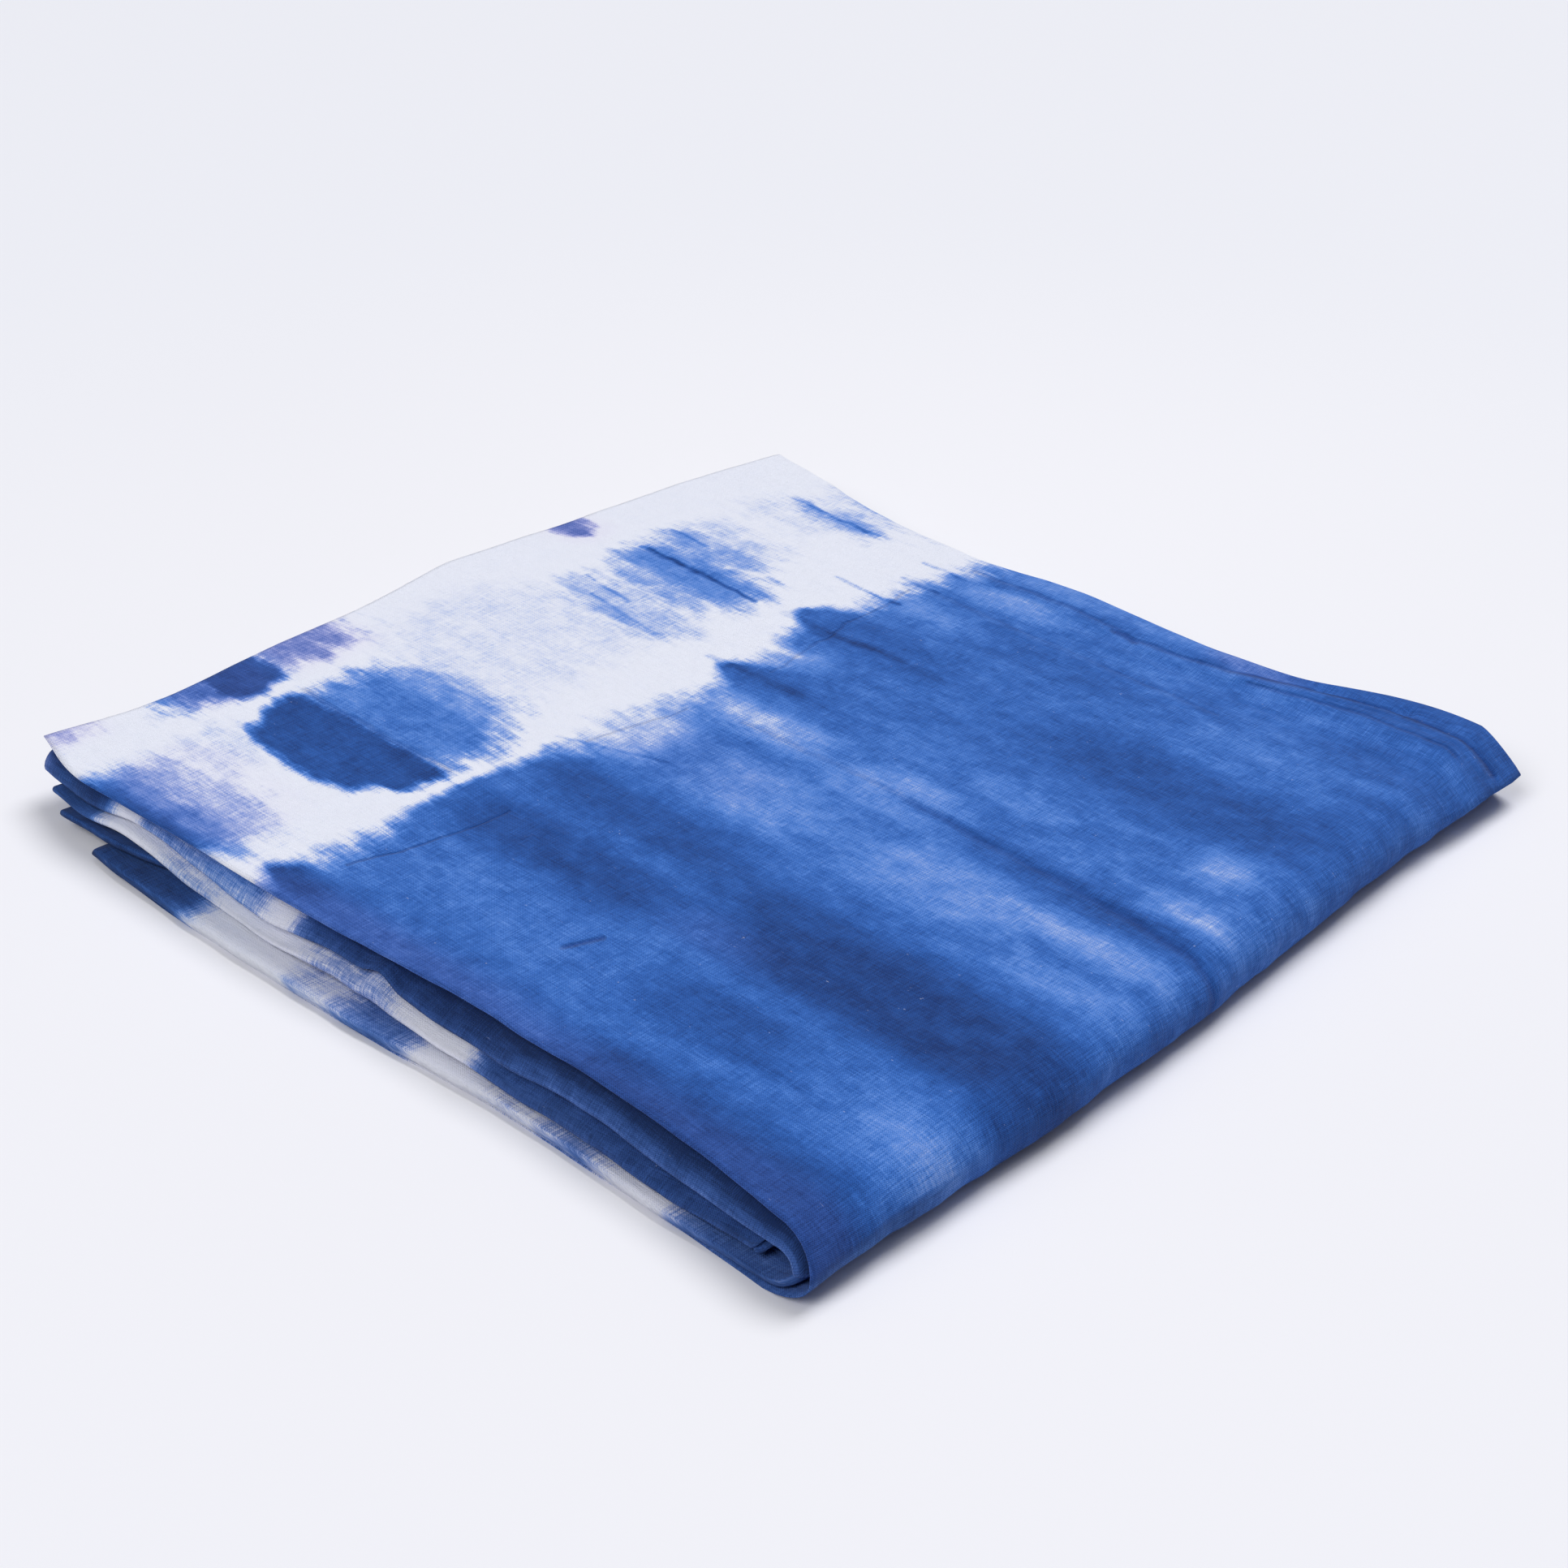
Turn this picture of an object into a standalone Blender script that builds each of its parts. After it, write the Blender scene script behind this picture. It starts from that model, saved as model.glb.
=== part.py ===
"""A shibori dyed cotton cloth, folded back and forth in five and then in half.

The cloth is one sheet. A flat grid stands for it, and each of its corners is moved to where the folds carry
it: first back and forth over its width, then once over in half, round the bend on the +X side. Heights, edges
and fold lines come from the short tables below, in millimetres, seen from above with the layered side on -Y.
"""
import bisect
import math

import bmesh
import bpy
from mathutils import Vector

MM = 0.001

# Driving dimensions of the folded cloth
SHEET = 1.0  # thickness of the sheet
LAYERS = 5  # back and forth, before the cloth is folded in half
STACK = 24.4  # height of the folded cloth over its middle
HEART = 3.0  # between the two innermost layers, from middle to middle
BEND_REACH = 17.0  # how far the outer layer bends out past the fold's start
BEND_STEP = 3.6  # how much less each layer inside it reaches
FRONT_EASE = 44.0  # from here in to the front lips the layers leave their even spacing
FRONT_SIDE = -190.0
BACK_SIDE = 165.0
DROOP_FROM = -187.0  # front of this, lip b droops
DROOP_RUN = 9.0
ROUND_NOSE = 3.0  # the most that a folded edge bulges past its layers
ROUND_GAIN = 1.15  # a folded edge's bulge, against half of its gap
END_DROOP = 1.6  # how far the top layer sinks towards its end
END_REACH = 45.0  # and from how far in

# Front lips of the upper half: where each reaches, its sheets' heights there, how far lip a's upper sheet
# stands in over its lower one, and how far lip b droops
UPPER_FRONT = (
    ("x", "top_y", "top_z", "a_y", "a_lean", "a_high", "a_low", "b_y", "b_high", "b_low", "b_droop"),
    (-200, -187.5, 23.6, -192.5, 3.0, 20.0, 12.6, -193.5, 11.0, 8.6, 0.0),
    (-165, -196.2, 23.6, -196.0, 4.0, 20.8, 12.0, -196.5, 10.2, 8.5, 0.0),
    (-130, -195.5, 23.8, -194.5, 3.0, 20.8, 15.4, -196.0, 13.6, 10.0, 0.0),
    (-95, -194.5, 24.0, -195.0, 4.0, 21.2, 12.8, -195.8, 11.2, 8.0, 2.6),
    (-60, -194.2, 24.0, -196.5, 5.0, 21.2, 11.2, -196.2, 9.7, 8.0, 3.0),
    (-20, -192.2, 24.3, -194.0, 4.0, 21.2, 14.2, -195.5, 12.4, 8.2, 1.8),
    (20, -189.4, 25.3, -194.0, 6.5, 21.8, 12.0, -195.2, 10.5, 8.0, 2.6),
    (60, -188.6, 25.6, -194.5, 8.0, 22.2, 12.2, -195.2, 10.6, 8.0, 2.6),
    (100, -187.6, 26.6, -193.5, 8.0, 23.0, 13.8, -195.2, 12.0, 8.0, 2.8),
    (140, -188.8, 25.6, -195.0, 8.0, 21.8, 11.8, -195.0, 10.2, 8.4, 3.4),
    (180, -193.4, 22.8, -196.0, 4.0, 19.8, 12.8, -194.8, 11.2, 9.4, 3.4),
)
# Front lips of the lower half, the same way
LOWER_FRONT = (
    ("x", "c_y", "c_high", "c_low", "d_y", "d_lean", "d_high", "d_low", "under_y"),
    (-200, -198.5, 6.7, 4.8, -200.0, 0.0, 3.35, 1.9, -198.0),
    (-165, -199.0, 6.7, 4.8, -203.0, 0.5, 3.4, 1.9, -201.0),
    (-130, -197.0, 7.6, 5.2, -205.0, 1.0, 3.7, 1.9, -203.4),
    (-95, -189.0, 6.4, 4.85, -206.4, 1.0, 3.4, 1.9, -205.0),
    (-60, -187.0, 6.4, 4.85, -206.2, 1.0, 3.4, 1.9, -204.8),
    (-20, -188.0, 6.5, 4.9, -205.2, 1.0, 3.4, 1.9, -203.8),
    (20, -187.0, 6.4, 4.85, -203.2, 1.0, 3.4, 1.9, -201.8),
    (60, -187.0, 6.4, 4.85, -199.8, 1.0, 3.4, 1.9, -198.4),
    (100, -187.0, 6.4, 4.85, -199.4, 1.0, 3.4, 1.9, -198.0),
    (140, -187.0, 6.6, 4.9, -199.0, 0.5, 3.4, 1.9, -197.8),
    (180, -189.0, 6.5, 5.0, -197.5, 0.0, 3.5, 2.0, -199.0),
)
# Back edges: how far the folds reach, and where the innermost layer ends
BACK = (
    ("x", "fold_01", "fold_23", "end_4", "under_01"),
    (-195, 186.0, 176.0, 172.0, 180.0),
    (-160, 177.5, 168.0, 164.0, 172.0),
    (-110, 166.5, 160.0, 156.0, 163.0),
    (-50, 161.5, 156.0, 152.0, 160.0),
    (0, 166.0, 159.0, 154.0, 163.0),
    (60, 163.0, 157.0, 153.0, 161.0),
    (105, 166.0, 160.0, 156.0, 166.0),
    (150, 182.0, 172.0, 167.0, 178.0),
    (190, 177.0, 183.5, 177.0, 183.5),
)
# The cloth's two ends on -X, by depth: how far each layer's end stands in from the side's own line
END_LINE = (
    ("y", "x"),
    (-200, -198.5),
    (-140, -192.0),
    (-95, -196.0),
    (-40, -199.5),
    (10, -206.0),
    (75, -199.5),
    (150, -192.0),
    (190, -185.0),
)
UPPER_END_INSET = (0.0, 4.5, 5.5, 14.0, 15.0)
LOWER_BACK_INSET = (16.0, 14.0, 13.0, 15.0, 16.0)
LOWER_FRONT_INSET = (54.0, 52.0, 52.0, 26.0, 25.0)  # the lowest layers stand further in at the front corner
LOWER_END_TURN = -130.0  # from this y on towards the front
LOWER_END_FADE = 50.0  # and fully so this far on
# Where the fold in half starts
BEND_LINE = (
    ("y", "x"),
    (-200, 179.3),
    (-140, 180.2),
    (-85, 182.4),
    (-10, 180.6),
    (55, 177.3),
    (100, 175.2),
    (182, 174.6),
)
# Soft folds and hollows of the top, as straight stretches: ends, half width, height
TOP_FOLDS = (
    ("x0", "y0", "x1", "y1", "half", "high"),
    (-10, 152, 185, 156, 11.0, 1.6),
    (70, 138, 190, 136, 12.0, -1.3),
    (90, -4, 200, -16, 14.0, -0.9),
    (60, -125, 185, -120, 26.0, 0.9),
    (-50, 105, -44, 45, 10.0, -0.8),
    (-36, -105, -50, -168, 12.0, -0.9),
    (-150, -60, -70, -110, 30.0, 0.7),
    (-170, 90, -110, 60, 26.0, 0.8),
)

UPPER_HEIGHTS = ("top_z", "a_high", "a_low", "b_high", "b_low")
LOWER_HEIGHTS = ("", "d_low", "d_high", "c_low", "c_high")

# How finely the sheet is divided
LAYER_STOPS = (0.0, 0.02, 0.05, 0.09, 0.15, 0.3, 0.5, 0.7, 0.86, 0.96, 1.0)
TURN_STEPS = 4
UPPER_STEPS = 14
BEND_STEPS = 7
LOWER_STEPS = 12
END_CROWDING = 0.35

COTTON_COLOUR = (0.10, 0.16, 0.42, 1.0)
COTTON_ROUGHNESS = 0.9

NODE = "folded_cloth"
COLLECTION = "shibori_dyed_cloth"


def read(table, column, at):
    """The column's value at this place in the table's first column, on a smooth curve through its rows."""
    names, rows = table[0], table[1:]
    pick = names.index(column)
    stops = [row[0] for row in rows]
    at = min(max(at, stops[0]), stops[-1])
    i = min(max(bisect.bisect_right(stops, at) - 1, 0), len(rows) - 2)
    span = stops[i + 1] - stops[i]
    t = (at - stops[i]) / span
    low, high = rows[i][pick], rows[i + 1][pick]

    def slope(k):
        before, after = max(k - 1, 0), min(k + 1, len(rows) - 1)
        return (rows[after][pick] - rows[before][pick]) / (stops[after] - stops[before])

    bow = t * (1 - t) * span * ((1 - t) * slope(i) - t * slope(i + 1))
    return low + (high - low) * smooth(t) + bow


def smooth(t):
    """0 to 1 with a level start and end."""
    t = min(max(t, 0.0), 1.0)
    return t * t * (3 - 2 * t)


def mix(low, high, t):
    """The value this far from low to high."""
    return low + (high - low) * t


def by_depth(values, depth):
    """A value between the layers' own, for a place this deep in the stack."""
    i = min(int(depth), LAYERS - 2)
    return mix(values[i], values[i + 1], depth - i)


def stretch_share(row, x, y):
    """1 on a soft fold's line, fading to 0 at its sides and past its ends."""
    x0, y0, x1, y1, half = row[:5]
    run = math.hypot(x1 - x0, y1 - y0)
    along = ((x - x0) * (x1 - x0) + (y - y0) * (y1 - y0)) / run
    across = ((x - x0) * (y1 - y0) - (y - y0) * (x1 - x0)) / run
    past = max(-along, along - run, 0.0)
    return math.exp(-(across * across + past * past) / (half * half))


def relief(x, y):
    """How far the top rises or sinks here from its even height."""
    folds = sum(row[-1] * stretch_share(row, x, y) for row in TOP_FOLDS[1:])
    end = read(END_LINE, "x", y)
    return folds - END_DROOP * smooth((end + END_REACH - x) / END_REACH)


def even_rise(layer):
    """A layer's height over or under the heart of the stack, with the layers evenly spaced."""
    step = (STACK - SHEET - HEART) / 2 / (LAYERS - 1)
    return HEART / 2 + (LAYERS - 1 - layer) * step


def layer_height(half, layer, x, y):
    """The height of one layer's middle in the upper or lower half of the folded cloth."""
    rise = even_rise(layer)
    if half == "upper":
        inner = STACK / 2 + rise * (1 + relief(x, y) / even_rise(0))
        edge = read(UPPER_FRONT, UPPER_HEIGHTS[layer], x)
        if layer >= UPPER_HEIGHTS.index("b_high"):
            edge -= read(UPPER_FRONT, "b_droop", x) * smooth((DROOP_FROM - y) / DROOP_RUN)
    else:
        inner = STACK / 2 - rise
        edge = read(LOWER_FRONT, LOWER_HEIGHTS[layer], x) if layer else SHEET / 2
    return mix(inner, edge, smooth((FRONT_SIDE + FRONT_EASE - y) / FRONT_EASE))


def height(half, depth, x, y):
    """The sheet's height at this depth in the stack, in a layer or in the turn between two."""
    i = min(int(depth), LAYERS - 2)
    share = depth - i
    low = layer_height(half, i, x, y) if share < 1 else 0.0
    high = layer_height(half, i + 1, x, y) if share > 0 else 0.0
    return mix(low, high, share)


def end_x(half, depth, y):
    """Where the cloth's end stands on the -X side, at this depth."""
    if half == "upper":
        inset = by_depth(UPPER_END_INSET, depth)
    else:
        front = smooth((LOWER_END_TURN - y) / LOWER_END_FADE)
        inset = mix(by_depth(LOWER_BACK_INSET, depth), by_depth(LOWER_FRONT_INSET, depth), front)
    return read(END_LINE, "x", y) + inset


def flat_x(half, depth, y, share):
    """X at this share of the way from the cloth's end to the bend."""
    return mix(end_x(half, depth, y), read(BEND_LINE, "x", y), share)


def nose(half, depth, x, y):
    """How far the turn between this layer and the next bulges past them."""
    gap = abs(height(half, depth, x, y) - height(half, depth + 1, x, y))
    return min(ROUND_GAIN * gap / 2, ROUND_NOSE)


def edges(half, share):
    """The five layers' front and back ends in one half, this far from the cloth's end to the bend, with the
    bulge of the turn after each layer and how far the first front turn's two layers stand in."""
    front = [flat_x(half, depth, FRONT_SIDE, share) for depth in range(LAYERS)]
    back = [flat_x(half, depth, BACK_SIDE, share) for depth in range(LAYERS)]
    lips = {}
    if half == "upper":
        lips["free"] = read(UPPER_FRONT, "top_y", front[0])
        lips[1] = read(UPPER_FRONT, "a_y", front[1])
        lips[3] = read(UPPER_FRONT, "b_y", front[3])
        lips[0] = read(BACK, "fold_01", back[0])
        leans = (read(UPPER_FRONT, "a_lean", front[1]), 0.0)
    else:
        lips["free"] = read(LOWER_FRONT, "under_y", front[0])
        lips[1] = read(LOWER_FRONT, "d_y", front[1])
        lips[3] = read(LOWER_FRONT, "c_y", front[3])
        lips[0] = read(BACK, "under_01", back[0])
        leans = (0.0, read(LOWER_FRONT, "d_lean", front[1]))
    lips[2] = read(BACK, "fold_23", back[2])
    lips["end"] = read(BACK, "end_4", back[4])
    noses = []
    for turn in range(LAYERS - 1):
        side = front if turn % 2 else back
        noses.append(nose(half, turn, side[turn], lips[turn]))
    return lips, noses, leans


def course(lips, noses, leans):
    """Depth and y of the sheet's corners over its width, from the top layer's free edge inwards."""
    fronts = (
        lips["free"],
        lips[1] + noses[1] + leans[0],
        lips[1] + noses[1] + leans[1],
        lips[3] + noses[3],
        lips[3] + noses[3],
    )
    backs = (lips[0] - noses[0], lips[0] - noses[0], lips[2] - noses[2], lips[2] - noses[2], lips["end"])
    path = []
    for layer in range(LAYERS):
        to_back = layer % 2 == 0
        stops = LAYER_STOPS if to_back else LAYER_STOPS[::-1]
        path += [(layer, mix(fronts[layer], backs[layer], stop)) for stop in stops]
        if layer == LAYERS - 1:
            break
        ends, way = (backs, 1) if to_back else (fronts, -1)
        for k in range(1, TURN_STEPS):
            angle = math.pi * k / TURN_STEPS
            share = (1 - math.cos(angle)) / 2
            bulge = way * noses[layer] * math.sin(angle)
            path.append((layer + share, mix(ends[layer], ends[layer + 1], share) + bulge))
    return path


def flat_row(half, share):
    """One line of the sheet's corners across its width, in the upper or lower half."""
    row = []
    for depth, y in course(*edges(half, share)):
        x = flat_x(half, depth, y, share)
        row.append((x, y, height(half, depth, x, y)))
    return row


def bend_row(turn):
    """One line of the sheet's corners across its width, this share of the way round the bend."""
    upper, lower = edges("upper", 1.0), edges("lower", 1.0)
    share = (1 - math.cos(math.pi * turn)) / 2
    lips = {key: mix(upper[0][key], lower[0][key], share) for key in upper[0]}
    noses = [mix(a, b, share) for a, b in zip(upper[1], lower[1])]
    leans = [mix(a, b, share) for a, b in zip(upper[2], lower[2])]
    row = []
    for depth, y in course(lips, noses, leans):
        start = read(BEND_LINE, "x", y)
        heart = (height("upper", LAYERS - 1, start, y) + height("lower", LAYERS - 1, start, y)) / 2
        half = "upper" if turn < 0.5 else "lower"
        rise = abs(height(half, depth, start, y) - heart)
        reach = BEND_REACH - BEND_STEP * depth
        x = start + reach * math.sin(math.pi * turn)
        row.append((x, y, heart + rise * math.cos(math.pi * turn)))
    return row


def folded_corners():
    """Every corner of the folded sheet, as rows from the upper end, round the bend, to the lower end."""
    rows = [flat_row("upper", smooth_run(k / UPPER_STEPS)) for k in range(UPPER_STEPS + 1)]
    rows += [bend_row(k / BEND_STEPS) for k in range(1, BEND_STEPS)]
    rows += [flat_row("lower", smooth_run(1 - k / LOWER_STEPS)) for k in range(LOWER_STEPS + 1)]
    return rows


def smooth_run(t):
    """Even steps, a little closer together at both ends."""
    return mix(t, smooth(t), END_CROWDING)


def clear_scene():
    """Remove the objects that the scene starts with."""
    for old in list(bpy.data.objects):
        bpy.data.objects.remove(old, do_unlink=True)


def cotton():
    """The cloth's plain material."""
    made = bpy.data.materials.new("dyed_cotton")
    made.use_nodes = True
    shader = made.node_tree.nodes["Principled BSDF"]
    shader.inputs["Base Color"].default_value = COTTON_COLOUR
    shader.inputs["Roughness"].default_value = COTTON_ROUGHNESS
    shader.inputs["Metallic"].default_value = 0.0
    return made


def folded_cloth():
    """The cloth: a flat grid, folded, with the sheet's thickness."""
    rows = folded_corners()
    columns = len(rows[0])
    grid = bmesh.new()
    bmesh.ops.create_grid(grid, x_segments=columns - 1, y_segments=len(rows) - 1, size=0.5)
    for corner in grid.verts:
        across = round((corner.co.x + 0.5) * (columns - 1))
        along = round((corner.co.y + 0.5) * (len(rows) - 1))
        corner.co = Vector(rows[along][across]) * MM
    mesh = bpy.data.meshes.new(NODE)
    grid.to_mesh(mesh)
    grid.free()
    cloth = bpy.data.objects.new(NODE, mesh)
    cloth.data.materials.append(cotton())
    sheet = cloth.modifiers.new("sheet", "SOLIDIFY")
    sheet.thickness = SHEET * MM
    sheet.offset = 0.0
    return cloth


def centre(cloth):
    """Move the mesh so that the folded cloth's box stands on the origin."""
    seen = cloth.evaluated_get(bpy.context.evaluated_depsgraph_get())
    corners = [corner.co for corner in seen.data.vertices]
    low = Vector(min(corner[k] for corner in corners) for k in range(3))
    high = Vector(max(corner[k] for corner in corners) for k in range(3))
    middle = Vector(((low.x + high.x) / 2, (low.y + high.y) / 2, low.z))
    for corner in cloth.data.vertices:
        corner.co -= middle
    print("box centre was at, in mm", [round(value / MM, 3) for value in middle])


def main():
    clear_scene()
    parts = bpy.data.collections.new(COLLECTION)
    bpy.context.scene.collection.children.link(parts)
    cloth = folded_cloth()
    parts.objects.link(cloth)
    bpy.context.view_layer.update()
    centre(cloth)


main()
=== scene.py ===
import bisect
import math

import bpy
import numpy as np
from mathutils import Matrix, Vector, noise


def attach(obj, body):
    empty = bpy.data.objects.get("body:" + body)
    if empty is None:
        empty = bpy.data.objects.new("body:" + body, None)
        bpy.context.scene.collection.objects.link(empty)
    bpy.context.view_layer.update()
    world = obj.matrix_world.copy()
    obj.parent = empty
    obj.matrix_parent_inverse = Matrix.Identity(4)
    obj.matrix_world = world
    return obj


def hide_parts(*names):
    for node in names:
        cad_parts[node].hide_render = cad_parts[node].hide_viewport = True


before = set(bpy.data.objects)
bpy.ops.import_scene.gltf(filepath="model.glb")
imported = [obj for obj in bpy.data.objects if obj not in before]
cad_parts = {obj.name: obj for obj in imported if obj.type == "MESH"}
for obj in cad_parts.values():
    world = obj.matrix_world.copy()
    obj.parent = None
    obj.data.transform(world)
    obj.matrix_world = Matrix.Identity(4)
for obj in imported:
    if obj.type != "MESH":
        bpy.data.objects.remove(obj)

MM = 0.001
CENTRE = (-2.892, -10.692)  # the middle of the folded cloth's box, in the tables' own places

# Driving dimensions of the folded cloth
SHEET = 0.5  # thickness of the sheet
SPACING_SHEET = 1.0  # thickness that its layers leave room for
LAYERS = 5  # in each half
STACK = 24.4  # height of both halves together, apart from the top's own folds
HEART = 3.0  # from the middle of one half's innermost layer to the other's
BEND_REACH = 15.8  # how far the outermost layer's bend stands out
BEND_STEP = 3.6  # and how much less the next one's does
FRONT_SIDE = -190.0
FRONT_EASE = 44.0  # how far in from the front the layers ease to their even heights
BACK_SIDE = 165.0
DROOP_FROM = -187.0  # where the upper half's second lip starts to droop
DROOP_RUN = 9.0
ROUND_GAIN = 1.15  # a turn's bulge past its two layers, as a share of half the gap between them
ROUND_NOSE = 3.0  # and the most that it bulges
END_DROOP = 1.6  # how far the top sinks towards the cloth's end
END_REACH = 45.0

# Front lips of the upper half
UPPER_FRONT = (
    ("x", "top_y", "top_z", "a_y", "a_lean", "a_high", "a_low", "b_y", "b_high", "b_low", "b_droop"),
    (-200, -187.5, 23.6, -192.5, 3.0, 20.0, 12.6, -193.5, 11.0, 8.6, 0.0),
    (-165, -196.2, 23.6, -196.0, 8.0, 20.6, 12.0, -196.5, 10.2, 8.5, 0.0),
    (-130, -195.5, 23.8, -194.5, 9.0, 20.6, 15.4, -196.0, 13.6, 10.0, 0.0),
    (-95, -194.5, 24.0, -195.0, 10.0, 20.4, 12.8, -195.8, 11.2, 8.0, 2.6),
    (-60, -194.2, 24.0, -196.5, 12.0, 20.0, 11.2, -196.2, 9.7, 8.0, 3.0),
    (-20, -192.2, 23.4, -194.0, 13.0, 18.6, 14.2, -195.5, 12.4, 8.2, 1.8),
    (-8, -190.8, 23.2, -194.0, 13.0, 18.6, 14.4, -195.4, 12.6, 8.2, 2.1),
    (1, -190.2, 23.1, -192.6, 12.0, 19.0, 16.8, -195.3, 15.0, 8.1, 2.3),
    (11, -189.8, 23.6, -194.0, 13.0, 18.6, 12.9, -195.2, 11.2, 8.0, 2.5),
    (50, -188.8, 24.8, -194.4, 12.0, 18.8, 12.1, -195.2, 10.6, 8.0, 2.6),
    (66, -188.0, 23.4, -194.6, 9.5, 20.0, 12.4, -195.2, 10.8, 8.0, 2.7),
    (100, -188.0, 24.2, -193.5, 8.5, 20.4, 13.8, -195.2, 12.0, 8.0, 2.8),
    (140, -189.2, 23.4, -195.0, 7.0, 18.8, 11.8, -195.0, 10.2, 8.4, 3.4),
    (180, -193.6, 22.8, -196.0, 4.0, 17.6, 12.6, -194.8, 11.2, 9.4, 3.4),
)
# Front lips of the lower half
LOWER_FRONT = (
    ("x", "c_y", "c_high", "c_low", "d_y", "d_lean", "d_high", "d_low", "under_y"),
    (-200, -198.5, 6.7, 4.8, -200.0, 0.0, 3.35, 1.9, -198.0),
    (-165, -199.0, 6.7, 4.8, -203.0, 0.5, 3.4, 1.9, -201.0),
    (-130, -197.0, 7.6, 5.2, -205.0, 1.0, 3.7, 1.9, -203.4),
    (-95, -189.0, 6.4, 4.85, -206.4, 1.0, 3.4, 1.9, -205.0),
    (-60, -187.0, 6.4, 4.85, -206.2, 1.0, 3.4, 1.9, -204.8),
    (-20, -188.0, 6.5, 4.9, -205.2, 1.0, 3.4, 1.9, -203.8),
    (20, -187.0, 6.4, 4.85, -203.2, 1.0, 3.4, 1.9, -201.8),
    (60, -187.0, 6.4, 4.85, -199.8, 1.0, 3.4, 1.9, -198.4),
    (100, -187.0, 6.4, 4.85, -199.4, 1.0, 3.4, 1.9, -198.0),
    (140, -188.0, 6.2, 4.6, -199.0, 0.5, 3.2, 1.8, -197.8),
    (180, -193.5, 5.2, 3.8, -197.5, 0.0, 2.7, 1.6, -199.0),
)
# Back edges of the folds, and where the innermost layer ends
BACK = (
    ("x", "fold_01", "fold_23", "end_4", "under_01"),
    (-195, 186.0, 176.0, 172.0, 180.0),
    (-160, 177.5, 168.0, 164.0, 172.0),
    (-110, 166.5, 160.0, 156.0, 163.0),
    (-50, 161.5, 156.0, 152.0, 160.0),
    (0, 166.0, 159.0, 154.0, 163.0),
    (60, 163.0, 157.0, 153.0, 161.0),
    (105, 166.0, 160.0, 156.0, 166.0),
    (150, 182.0, 172.0, 167.0, 178.0),
    (190, 181.5, 183.5, 177.0, 183.5),
)
# The cloth's two ends on -X
END_LINE = (
    ("y", "x"),
    (-200, -198.5),
    (-140, -192.0),
    (-95, -196.0),
    (-40, -199.5),
    (10, -206.0),
    (75, -199.5),
    (150, -192.0),
    (190, -185.0),
)
# How far each layer's end stands in from that line, from the outermost layer inwards
UPPER_END_INSET = (0.0, 4.5, 5.5, 14.0, 15.0)
LOWER_BACK_INSET = (16.0, 14.0, 13.0, 15.0, 16.0)
LOWER_FRONT_INSET = (54.0, 52.0, 52.0, 26.0, 25.0)
LOWER_END_TURN = -130.0  # where the lower half's front inset starts
LOWER_END_FADE = 50.0
# Where the fold in half starts
BEND_LINE = (
    ("y", "x"),
    (-200, 179.3),
    (-140, 180.2),
    (-85, 182.4),
    (-10, 180.6),
    (55, 177.3),
    (100, 175.2),
    (182, 174.6),
)
# Soft folds and hollows of the top, as straight stretches
TOP_FOLDS = (
    ("x0", "y0", "x1", "y1", "half", "high"),
    (-10, 152, 185, 156, 11.0, 1.6),
    (70, 138, 190, 136, 12.0, -1.3),
    (90, -4, 200, -16, 14.0, -0.9),
    (60, -125, 185, -120, 26.0, 0.9),
    (-50, 105, -44, 45, 10.0, -0.8),
    (-36, -105, -50, -168, 12.0, -0.9),
    (-150, -60, -70, -110, 30.0, 0.7),
    (-170, 90, -110, 60, 26.0, 0.8),
    (84, 154, 118, 164, 2.6, -1.3),
    (118, 164, 150, 171, 2.6, -1.6),
    (150, 171, 188, 168, 2.6, -1.5),
    (90, 149, 178, 153, 4.0, 0.5),
    (-35, 126, 100, 122, 4.5, -0.4),
    (60, -3, 150, -8, 4.0, -0.5),
    (150, -8, 205, -14, 4.0, -0.5),
)

# Each half's lips: the side and the layer that each belongs to, its column, and where and how much it wanders
LIP_COLUMNS = ("lip", "side", "layer", "table", "column", "start", "share")
INNER_LIPS = ((2, "back", 2, BACK, "fold_23", 0.0, 0.0), ("end", "back", 4, BACK, "end_4", 0.0, 0.0))
LIPS = {
    "upper": (
        LIP_COLUMNS,
        ("free", "front", 0, UPPER_FRONT, "top_y", 0.0, 0.5),
        (1, "front", 1, UPPER_FRONT, "a_y", 10.0, 1.0),
        (3, "front", 3, UPPER_FRONT, "b_y", 20.0, 1.0),
        (0, "back", 0, BACK, "fold_01", 50.0, 1.0),
        *INNER_LIPS,
    ),
    "lower": (
        LIP_COLUMNS,
        ("free", "front", 0, LOWER_FRONT, "under_y", 0.0, 0.5),
        (1, "front", 1, LOWER_FRONT, "d_y", 40.0, 1.0),
        (3, "front", 3, LOWER_FRONT, "c_y", 30.0, 1.0),
        (0, "back", 0, BACK, "under_01", 50.0, 1.0),
        *INNER_LIPS,
    ),
}
# The columns that hold each layer's height at the front. The lowest layer lies on the floor
UPPER_HEIGHTS = ("top_z", "a_high", "a_low", "b_high", "b_low")
LOWER_HEIGHTS = ("", "d_low", "d_high", "c_low", "c_high")

# Unevenness that the folds share: wave lengths along and across the threads, and height
SWELLS = (
    ("along", "across", "high"),
    (95.0, 30.0, 0.55),
    (34.0, 13.0, 0.22),
)
LIP_WOBBLE = 0.7  # how far a folded edge wanders in and out
LIP_WAVE = 17.0
LIP_SLICE = 0.5  # keeps that noise off its zero points
OUTER_MIDDLE = 190.0  # from the free edge to the middle of the top
LIP_DEPTHS = (1.5, 3.5)  # the depths of the two front lips' tips
TOP_SHARE = 0.3  # how far past a layer its own place on the flat cloth starts to ease to the next lip's

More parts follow.
